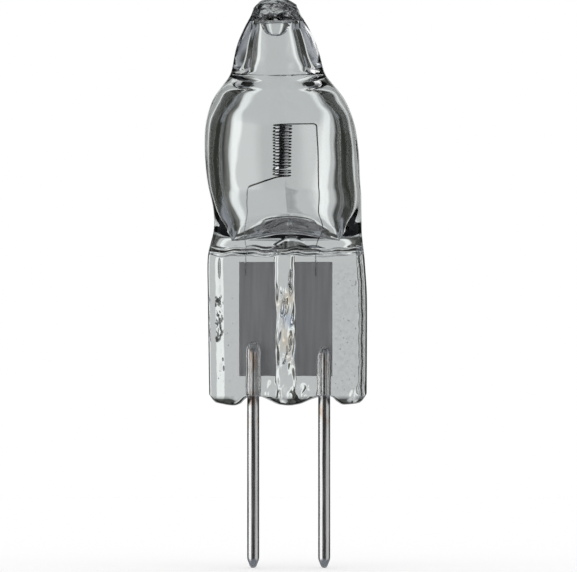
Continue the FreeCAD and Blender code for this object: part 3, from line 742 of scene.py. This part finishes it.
# %% [markdown]
# ## Quartz
# Clear quartz is a Principled shader with full transmission and an index of 1.46. The bands in
# the bulb aren't painted: they come from refraction. Tints are laid over the clear glass where
# the real lamp shows them: milky specks in the seal, painted glints of gold and blue in the rib's
# lumps, faint painted grey shade behind the coil, and near-black painted shade along the foot,
# at the ledge and in blotches on the left rim. Noises bend the surface a little: a slow one for
# the waves that hot glass keeps, and lumps with a grain that only show at the melted tip.

# %% Tints of the quartz
INDEX = 1.46
CLEAR, MILKY = (0.985, 0.992, 0.99), (0.88, 0.89, 0.9)
# Gold and blue tints of the painted coloured glints in the rib's lumps.
GOLD, BLUE, GLINT_MIDDLE = (1.0, 0.88, 0.72), (0.78, 0.85, 1.0), -0.1
# Near-black tint of the painted shade at the ledge, along the foot and on the left rim.
PAINTED_SHADE_TINT = (0.008, 0.0085, 0.007)
SHADE_LEVEL, ARCH_HALF_WIDTH, ARCH_RISE = 8.74, 1.25, 0.56
LINE_RATE, LINE_RISE, LINE_WIDTH = 2.1, 0.06, 0.09
BLOTCHES_MIDDLE = -3.96
# Painted grey shade on the back of the bulb under the coil: its tint, top and fall.
BACK_SHADE_GREY, BACK_SHADE_TOP, BACK_SHADE_FALL = (0.6, 0.6, 0.61), 12.95, 1.5


def ledge_shade(graph, x, y, z):
    """Painted shade at the folded glass of the ledge: a low arch, and a wavy line in front."""
    height = graph.minus(z, SHADE_LEVEL)
    aside = graph.math("DIVIDE", graph.minus(x, HUMP_MIDDLE), ARCH_HALF_WIDTH)
    arch = graph.times(graph.minus(1.0, graph.times(aside, aside)), ARCH_RISE)
    under_arch = graph.ramp(graph.minus(arch, height), 0.0, 0.05, 0.0, 0.95)
    lens = graph.times(under_arch, graph.ramp(height, 0.0, 0.06))
    wave = graph.times(graph.math("SINE", graph.times(x, LINE_RATE)), LINE_RISE)
    off_line = graph.math("ABSOLUTE", graph.minus(height, wave))
    width = graph.ramp(graph.noise(0.8, 2.0), 0.35, 0.65, 0.0, LINE_WIDTH)
    line = graph.ramp(graph.minus(width, off_line), 0.0, 0.025, 0.0, 0.9)
    in_front = graph.math("LESS_THAN", y, 0.0)
    return graph.larger(lens, graph.times(line, in_front))


def foot_shade(graph, z):
    """Painted shade in patches along the lowest edge of the foot."""
    patches = graph.ramp(graph.noise(1.0, 2.0), 0.36, 0.47)
    return graph.times(graph.ramp(z, 0.36, 0.58, 1.0, 0.0), patches)


def rim_painted_blotches(graph, x, z):
    """Painted shade in dark blotches in the skin of the left rim."""
    across = graph.ramp(graph.apart(x, BLOTCHES_MIDDLE), 0.17, 0.21, 1.0, 0.0)
    blotches = graph.ramp(graph.noise(3.2, 2.0, (1.3, 1, 0.8)), 0.55, 0.58, 0.0, 0.95)
    return graph.times(across, blotches, graph.window(z, 3.5, 3.7, 6.1, 6.3))


def back_painted_shade(graph, x, y, z):
    """Faint painted grey shade on the back of the bulb, under the coil, wider towards the floor."""
    inside = graph.minus(graph.minus(BACK_SHADE_TOP, z), graph.times(x, BACK_SHADE_FALL))
    edges = graph.times(graph.ramp(inside, 0.0, 0.5), graph.ramp(x, -0.1, -0.02))
    above_floor = graph.ramp(z, 11.0, 11.15)
    behind = graph.math("GREATER_THAN", y, 0.0)
    mottled = graph.ramp(graph.noise(2.5), 0.35, 0.55, 0.5, 0.9)
    return graph.times(edges, above_floor, behind, mottled)


def glass_colour(graph, x, y, z):
    """Clear glass with its tints, painted glints and painted shade laid one over the other."""
    specks = graph.ramp(graph.noise(4.0, 4.0), 0.46, 0.6)
    on_right = graph.ramp(x, 2.2, 2.8, 0.25, 1.0)
    in_seal = graph.ramp(z, 7.6, 8.2, 1.0, 0.0)
    colour = graph.mix(graph.times(specks, on_right, in_seal), CLEAR, MILKY)
    # Painted coloured glints, gold and blue, in the rib's lumps.
    in_rib = graph.ramp(graph.apart(x, GLINT_MIDDLE), 0.15, 0.4, 1.0, 0.0)
    in_lumps = graph.times(in_rib, graph.window(z, 1.8, 2.4, 6.0, 6.6))
    patches = graph.noise(0.9, 1.0, (1.4, 1, 0.6))
    colour = graph.mix(graph.times(in_lumps, graph.ramp(patches, 0.5, 0.6)), colour, GOLD)
    colour = graph.mix(graph.times(in_lumps, graph.ramp(patches, 0.46, 0.38)), colour, BLUE)
    # Faint painted grey shade behind the coil.
    colour = graph.mix(back_painted_shade(graph, x, y, z), colour, BACK_SHADE_GREY)
    # Near-black painted shade at the foot, the ledge and the left rim.
    painted_shade = graph.larger(foot_shade(graph, z), ledge_shade(graph, x, y, z))
    return graph.mix(graph.larger(painted_shade, rim_painted_blotches(graph, x, z)), colour, PAINTED_SHADE_TINT)


# %% The envelope of quartz
def quartz():
    """Clear fused quartz, with its tints, its waves and its melted tip."""
    material, graph, shader = new_material("fused_quartz")
    shader.inputs["Transmission Weight"].default_value = 1.0
    shader.inputs["IOR"].default_value = INDEX
    x, y, z = graph.place()
    graph.feed(glass_colour(graph, x, y, z), shader.inputs["Base Color"])
    graph.feed(graph.ramp(z, 21.9, 22.6, 0.0, 0.03), shader.inputs["Roughness"])
    melted = graph.ramp(z, 21.65, 22.25)
    wavy = graph.bump(graph.noise(0.35, 1.0), 0.05)
    lumpy = graph.bump(graph.times(graph.noise(1.7, 1.0), melted), 0.9, below=wavy)
    grainy = graph.bump(graph.times(graph.noise(6.0), melted), 0.08, below=lumpy)
    graph.feed(grainy, shader.inputs["Normal"])
    return material


envelope = make_mesh(
    "quartz_bulb",
    [skin(outside, foot_seam=True), skin(cavity, inward=True, foot_seam=True)]
    + [skin(socket, inward=True) for socket in sockets]
    + [skin(bubble_rings(*bubble), inward=True) for bubble in bubbles],
    quartz(),
)
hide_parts("quartz_envelope")
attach(envelope, "root")

# %% [markdown]
# ## The filament
# One tungsten wire: a lead up from the left foil, seventeen close turns, and a lead down to the
# right foil. The leads look thinner inside the foot of the bulb, so the radius changes along the
# way. A curve with a round bevel would do, but a swept mesh lets each ring of the wire be turned
# with the path, so the wire never twists or pinches.

# %% The wire's path
WIRE_SIDES = 10
WIRE_RADIUS, LEAD_RADIUS = 0.046, 0.042
THIN_LEAD, DOWN_LEAD = 0.022, 0.03
COIL_RADIUS = 0.485
COIL_TURNS = 17
COIL_PITCH = 0.165
COIL_MIDDLE = -0.34
COIL_FOOT = 12.97
COIL_TOP = COIL_FOOT + COIL_TURNS * COIL_PITCH
TURN_STEPS = 28
LEAD_SEAT = 0.285
LEFT_BEND, RIGHT_BEND = 0.2, 0.25
LEFT_LEAD = [
    (-2.42, LEAD_SEAT, 7.3), (-2.42, LEAD_SEAT, 8.9), (-2.46, 0.1, 10.6),
    (-2.25, -COIL_RADIUS, 12.41), (-0.66, -COIL_RADIUS, 12.92),
    (COIL_MIDDLE, -COIL_RADIUS, COIL_FOOT),
]
RIGHT_LEAD = [
    (COIL_MIDDLE, -COIL_RADIUS, COIL_TOP), (1.57, -COIL_RADIUS, COIL_TOP), (1.88, 0.1, 10.6),
    (1.52, LEAD_SEAT, 8.9), (1.52, LEAD_SEAT, 7.3),
]


def bend(points, radius, steps=6):
    """Straight runs with round corners, as places along the way."""
    path = [np.array(points[0], float)]
    for before, corner, after in zip(points, points[1:], points[2:]):
        before, corner, after = (np.array(p, float) for p in (before, corner, after))
        back, on = before - corner, after - corner
        reach = min(radius, 0.45 * np.linalg.norm(back), 0.45 * np.linalg.norm(on))
        start = corner + back / np.linalg.norm(back) * reach
        end = corner + on / np.linalg.norm(on) * reach
        for t in np.linspace(0, 1, steps):
            path.append((1 - t) ** 2 * start + 2 * t * (1 - t) * corner + t * t * end)
    path.append(np.array(points[-1], float))
    return path


def wire_path():
    """The places along the wire and its radius at each."""
    left = bend(LEFT_LEAD, LEFT_BEND)
    coil = []
    for i in range(1, COIL_TURNS * TURN_STEPS):
        turn = 2 * math.pi * i / TURN_STEPS - math.pi / 2
        coil.append(np.array([
            COIL_MIDDLE + COIL_RADIUS * math.cos(turn),
            COIL_RADIUS * math.sin(turn),
            COIL_FOOT + COIL_PITCH * i / TURN_STEPS,
        ]))
    right = bend(RIGHT_LEAD, RIGHT_BEND)
    widen = smooth_step(11.9, 12.45, [place[2] for place in left])
    narrow = smooth_step(14.9, 15.5, [place[2] for place in right])
    radii = list(THIN_LEAD + (LEAD_RADIUS - THIN_LEAD) * widen)
    radii += [WIRE_RADIUS] * len(coil) + list(DOWN_LEAD + (LEAD_RADIUS - DOWN_LEAD) * narrow)
    return left + coil + right, radii


path, radii = wire_path()
wire_length = np.linalg.norm(np.diff(path, axis=0), axis=1).sum()
print("the wire is", round(wire_length, 1), "mm long")


def sweep(path, radii, sides=WIRE_SIDES):
    """Rings of a round wire along a path, each turned from the one before by the least angle."""
    path = np.array(path)
    ways = np.gradient(path, axis=0)
    ways /= np.linalg.norm(ways, axis=1)[:, None]
    side = np.cross(ways[0], (0.3, 0.9, 0.1))
    rings = []
    for place, way, radius in zip(path, ways, radii):
        side = side - way * np.dot(side, way)
        side /= np.linalg.norm(side)
        other = np.cross(way, side)
        rings.append([
            place + radius * (math.cos(a) * side + math.sin(a) * other)
            for a in np.arange(sides) / sides * 2 * math.pi
        ])
    return rings


# %% [markdown]
# ## Tungsten
# Drawn tungsten is dark with a soft shine. Painted glints run down the front of the coil, in a
# bright line to the left and a greyer one to the right. The leads are lighter near the foils,
# and the left lead is painted lighter up to its bend, as a painted reflection. All of it is one
# tone, the largest of a few, so no part hides another.

# %% The filament
# Lighter tone of the leads: near the foils, and up to the bend of the left lead as a painted
# reflection.
LIGHTER_LEAD, LIGHTER_LEAD_BELOW, LIGHTER_LEAD_LEFT_OF = 0.7, 12.36, -2.1
# Painted glints on the coil: place beside its axis, half width and tone.
GLINT_LINES = [(-0.285, 0.09, 1.0), (0.235, 0.1, 0.7)]
GLINT_EDGE = 0.04


def painted_glints(graph, x, y, z):
    """The tone of the painted glints down the front of the coil, and 0 elsewhere."""
    tone = 0.0
    for aside, spread, lighter in GLINT_LINES:
        off_line = graph.apart(x, COIL_MIDDLE + aside)
        line = graph.ramp(off_line, spread, spread + GLINT_EDGE, lighter, 0.0)
        tone = graph.larger(tone, line)
    on_coil = graph.window(z, COIL_FOOT + 0.01, COIL_FOOT + 0.05, COIL_TOP - 0.115, COIL_TOP - 0.075)
    return graph.times(tone, on_coil, graph.math("LESS_THAN", y, 0.0))


def tungsten():
    """Dark drawn wire, with painted glints on the coil and lighter leads."""
    material, graph, shader = new_material("drawn_tungsten")
    shader.inputs["Metallic"].default_value = 1.0
    x, y, z = graph.place()
    tone = graph.ramp(graph.noise(3.0), 0.3, 0.7, 0.05, 0.11)
    low = graph.math("LESS_THAN", z, LIGHTER_LEAD_BELOW)
    # Painted reflection: the left lead is lighter up to its bend.
    low_left = graph.times(low, graph.math("LESS_THAN", x, LIGHTER_LEAD_LEFT_OF), LIGHTER_LEAD)
    feet = graph.ramp(z, 9.2, 9.6, LIGHTER_LEAD, 0.0)
    # Painted glints on the coil and the lighter leads, laid over the dark tone.
    for lighter in (feet, low_left, painted_glints(graph, x, y, z)):
        tone = graph.larger(tone, lighter)
    graph.feed(graph.grey(tone), shader.inputs["Base Color"])
    graph.feed(graph.ramp(graph.noise(9.0), 0.3, 0.7, 0.18, 0.34), shader.inputs["Roughness"])
    return material


filament = make_mesh("filament_wire", [skin(sweep(path, radii))], tungsten())
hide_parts("filament")
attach(filament, "root")

# %% [markdown]
# ## The pins
# A pin is drawn wire, cut to length with a small rounded cone. Its shape is a lathe outline, and
# its look is all finish: fine lines along it from the drawing die, a grey that varies a little,
# and a warm tarnish near the glass, where the seal was made hot.

# %% Pins
PIN_FOOT, PIN_TOP = -9.15, 3.3
PIN_SIDES = 72
# Radius and height, from the foot up.
PIN_OUTLINE = [
    (0.04, PIN_FOOT), (0.12, PIN_FOOT + 0.03), (0.18, PIN_FOOT + 0.1), (0.3, PIN_FOOT + 0.4),
    (0.33, PIN_FOOT + 0.5), (PIN_RADIUS, PIN_FOOT + 0.64), (PIN_RADIUS, -4.0), (PIN_RADIUS, 0.2),
    (0.335, PIN_TOP - 0.3), (0.3, PIN_TOP - 0.14), (0.2, PIN_TOP - 0.03), (0.06, PIN_TOP),
]
TARNISH = (0.62, 0.47, 0.38)


def pin_rings(middle):
    """The pin's outline turned about its axis."""
    turn = np.arange(PIN_SIDES) / PIN_SIDES * 2 * math.pi
    return [
        [(middle + r * math.cos(a), r * math.sin(a), z) for a in turn] for r, z in PIN_OUTLINE
    ]


def drawn_metal():
    """Grey metal with fine lines along it, and tarnish near the glass."""
    material, graph, shader = new_material("drawn_molybdenum")
    shader.inputs["Metallic"].default_value = 1.0
    height = graph.place()[2]
    lines = graph.noise(9.0, 4.0, (1, 1, 0.03))
    stains = graph.ramp(graph.noise(2.2, 3.0, (1, 1, 0.4)), 0.48, 0.62, 0.0, 0.8)
    tarnished = graph.times(graph.ramp(height, -2.4, -0.2), stains)
    metal = graph.grey(graph.ramp(lines, 0.25, 0.75, 0.62, 0.95))
    graph.feed(graph.mix(tarnished, metal, TARNISH), shader.inputs["Base Color"])
    graph.feed(graph.ramp(lines, 0.3, 0.7, 0.16, 0.34), shader.inputs["Roughness"])
    graph.feed(graph.bump(lines, 0.01), shader.inputs["Normal"])
    return material


pin_finish = drawn_metal()
for side, middle in (("left", -PIN_HALF_SPACING), ("right", PIN_HALF_SPACING)):
    pin = make_mesh("contact_pin_" + side, [skin(pin_rings(middle))], pin_finish)
    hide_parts("pin_" + side)
    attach(pin, "root")

# %% [markdown]
# ## The foils
# The foils keep their solids from the frame: thin strips with feathered edges need no more
# shape. Only their finish is made here, matt grey molybdenum with fine rolling lines.


# %% Foil finish
def rolled_foil():
    """Matt grey foil, with lines along the way it was rolled."""
    material, graph, shader = new_material("rolled_molybdenum")
    shader.inputs["Metallic"].default_value = 0.45
    lines = graph.noise(5.0, 5.0, (1, 1, 0.06))
    graph.feed(graph.grey(graph.ramp(lines, 0.3, 0.7, 0.78, 0.95)), shader.inputs["Base Color"])
    graph.feed(graph.ramp(lines, 0.3, 0.7, 0.42, 0.55), shader.inputs["Roughness"])
    return material


foil_finish = rolled_foil()
for name in ("foil_left", "foil_right"):
    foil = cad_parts[name]
    foil.data.materials.clear()
    foil.data.materials.append(foil_finish)
    print(name, "keeps its", len(foil.data.polygons), "faces")

# %% [markdown]
# ## Light
# Glass shows what stands around it, so the studio is painted on the world by direction: a grey
# screen behind the lamp with a bright border, dark beyond, and soft light at the sides and in
# front. Tones go round the horizon as stops, and more are laid over them above and below. Area
# lamps would show in the glass with hard edges. The camera itself sees plain white.

# %% Tones and edges of the studio
SCREEN = (0.53, 0.548, 0.548)
BRIGHT = (0.86, 0.9, 0.89)
DIM = (0.20, 0.205, 0.2)
DUSK = (0.14, 0.142, 0.13)
SHADE = (0.03, 0.032, 0.027)
SIDE = (0.30, 0.32, 0.34)
FRONT_DARK = (0.03, 0.03, 0.03)
FILL = (0.6, 0.6, 0.6)
BOX = (1.3, 1.3, 1.3)
WHITE = (1.0, 1.0, 1.0)
# Angles from straight behind the lamp, to the right, in degrees.
AROUND = [
    (-180, FRONT_DARK), (-150, FRONT_DARK), (-134, BOX), (-90, BOX), (-84, SIDE), (-78, SIDE),
    (-72, SHADE), (-30, SHADE), (-14, DUSK), (-12, BRIGHT), (-8.5, BRIGHT), (-7, SCREEN),
    (8, SCREEN), (9, BRIGHT), (13, BRIGHT), (14, SCREEN), (20, SCREEN), (24, DIM), (32, SHADE),
    (72, SHADE), (78, SIDE), (84, SIDE), (90, FILL), (134, FILL), (148, FRONT_DARK),
    (180, FRONT_DARK),
]
# Each edge is the two angles between which a tone comes in, in degrees.
RING_EDGE, RING_END, RING_CLIMB = (17, 21), 60.0, 0.35
BESIDE_EDGE = (5, 11)
LOWER, LOWER_EDGE = (0.045, 0.047, 0.04), (-22, -25)
UPPER_EDGE, UPPER_HALF_WIDTH = (32, 35), (2, 3)
LOW_NEAR, LOW_FAR, LOW_SPREAD = (0.28, 0.295, 0.32), (0.25, 0.265, 0.29), (26, 36)
LOW_EDGE, LOW_ASIDE = (-13, -17), (17, 24)
NECK_GREY, NECK_ASIDE, NECK_EDGE = (0.2, 0.215, 0.24), (46, 50, 62, 66), (9, 13)
CEILING, CEILING_EDGE = (0.36, 0.37, 0.375), (48, 54)
FRONT_CEILING, FRONT_CEILING_EDGE = (0.2, 0.215, 0.245), (20, 26)
FRONT_EDGE = (84, 90)


# %% World
def shades(graph, degrees, stops):
    """Tones set out by an angle in degrees."""
    low, high = stops[0][0], stops[-1][0]
    node = graph.nodes.new("ShaderNodeValToRGB")
    band = node.color_ramp
    places = [(degree - low) / (high - low) for degree, _ in stops]
    band.elements[0].position, band.elements[1].position = 0.0, 1.0
    for place in places[1:-1]:
        band.elements.new(place)
    for element, place, (_, tone) in zip(band.elements, places, stops):
        element.position = place
        element.color = (*tone, 1)
    graph.feed(graph.ramp(degrees, low, high), node.inputs["Fac"])
    return node.outputs["Color"]


def dark_ring(graph, degrees, rise, aside):
    """The dark around the screen, as a tall oval ring that is open above and below."""
    lifted = graph.times(rise, RING_CLIMB)
    squares = graph.math("ADD", graph.times(lifted, lifted), graph.times(degrees, degrees))
    off_axis = graph.math("SQRT", squares)
    ring = graph.math("LESS_THAN", off_axis, RING_END)
    return graph.times(ring, graph.ramp(off_axis, *RING_EDGE), graph.ramp(aside, *BESIDE_EDGE))


def seen_in_object(graph):
    """1 for a ray that the object mirrors or lets through, 0 for the camera's own."""
    paths = graph.nodes.new("ShaderNodeLightPath")
    return graph.larger(paths.outputs["Is Glossy Ray"], paths.outputs["Is Transmission Ray"])


def world_light():
    """The studio: tones by direction, laid one over the other."""
    world = bpy.data.worlds.new("studio")
    bpy.context.scene.world = world
    graph = Graph(world)
    place = graph.nodes.new("ShaderNodeTexCoord")
    split = graph.nodes.new("ShaderNodeSeparateXYZ")
    graph.links.new(place.outputs["Generated"], split.inputs["Vector"])
    turn = graph.math("ARCTAN2", split.outputs["X"], split.outputs["Y"])
    degrees = graph.times(turn, 180 / math.pi)
    rise = graph.times(graph.math("ARCSINE", split.outputs["Z"]), 180 / math.pi)
    aside, steep = graph.math("ABSOLUTE", degrees), graph.math("ABSOLUTE", rise)
    behind = graph.math("LESS_THAN", aside, 90.0)
    over = graph.times(graph.ramp(rise, *UPPER_EDGE), graph.ramp(aside, *UPPER_HALF_WIDTH, 1, 0))
    low = graph.times(graph.ramp(rise, *LOW_EDGE), graph.ramp(aside, *LOW_ASIDE), behind)
    low_tone = graph.mix(graph.ramp(aside, *LOW_SPREAD), LOW_NEAR, LOW_FAR)
    neck = graph.times(graph.window(aside, *NECK_ASIDE), graph.ramp(steep, *NECK_EDGE))
    front = graph.times(graph.ramp(steep, *FRONT_CEILING_EDGE), graph.ramp(aside, *FRONT_EDGE))
    high = graph.larger(graph.ramp(steep, *CEILING_EDGE), front)
    studio = shades(graph, degrees, AROUND)
    for share, tone in (
        (dark_ring(graph, degrees, rise, aside), SHADE),
        (graph.times(graph.ramp(rise, *LOWER_EDGE), behind), LOWER),
        (over, SHADE),
        (low, low_tone),
        (neck, NECK_GREY),
        (high, graph.mix(behind, FRONT_CEILING, CEILING)),
    ):
        studio = graph.mix(share, studio, tone)
    colour = graph.mix(seen_in_object(graph), WHITE, studio)
    graph.feed(colour, graph.nodes["Background"].inputs["Color"])
    print("the studio has", len(AROUND), "stops around")


world_light()

# %% [markdown]
# ## Floor and camera
# The floor is white and matt, and only catches the shadow under the pins: rays that the glass
# or the metal sends on pass through it to the studio. The camera stands far off with a long
# lens, as for a catalogue picture, so the pins stay parallel. Its place comes from the scale of
# the photograph: pixels to a millimetre, and the pixel on which the lamp's origin falls.

# %% Floor and camera
FLOOR_RADIUS, FLOOR_SIDES = 200.0, 96
PIXELS_PER_MM = 17.75
PHOTO_WIDTH, PHOTO_HEIGHT = 577, 572
AXIS_PIXEL, SEAT_PIXEL = 288.7, 405.5
CAMERA_DISTANCE = 600.0
NEAREST, FARTHEST = 0.001, 10


def floor():
    """A white disc at the foot of the pins, unseen in the object."""
    bpy.ops.mesh.primitive_circle_add(
        vertices=FLOOR_SIDES,
        radius=FLOOR_RADIUS * MM,
        fill_type="NGON",
        location=(0, 0, PIN_FOOT * MM),
    )
    disc = bpy.context.object
    disc.name = "floor"
    material, graph, shader = new_material("pale_floor")
    shader.inputs["Base Color"].default_value = (*WHITE, 1)
    shader.inputs["Roughness"].default_value = 1.0
    shader.inputs["Specular IOR Level"].default_value = 0.0
    clear = graph.nodes.new("ShaderNodeBsdfTransparent")
    mix = graph.nodes.new("ShaderNodeMixShader")
    graph.feed(seen_in_object(graph), mix.inputs["Fac"])
    graph.feed(shader.outputs[0], mix.inputs[1])
    graph.feed(clear.outputs[0], mix.inputs[2])
    graph.feed(mix.outputs[0], graph.nodes["Material Output"].inputs["Surface"])
    disc.data.materials.append(material)


def camera():
    """A camera straight in front, at the photograph's scale."""
    lens = bpy.data.cameras.new("camera")
    eye = bpy.data.objects.new("camera", lens)
    bpy.context.scene.collection.objects.link(eye)
    field = PHOTO_WIDTH / PIXELS_PER_MM
    lens.lens = lens.sensor_width * CAMERA_DISTANCE / field
    lens.clip_start, lens.clip_end = NEAREST, FARTHEST
    x = (PHOTO_WIDTH / 2 - AXIS_PIXEL) / PIXELS_PER_MM
    z = (SEAT_PIXEL - PHOTO_HEIGHT / 2) / PIXELS_PER_MM
    eye.location = (x * MM, -CAMERA_DISTANCE * MM, z * MM)
    eye.rotation_euler = (math.pi / 2, 0, 0)
    bpy.context.scene.camera = eye
    print("the picture is", round(field, 2), "mm wide")


floor()
camera()
bpy.context.scene.view_settings.view_transform = "Standard"
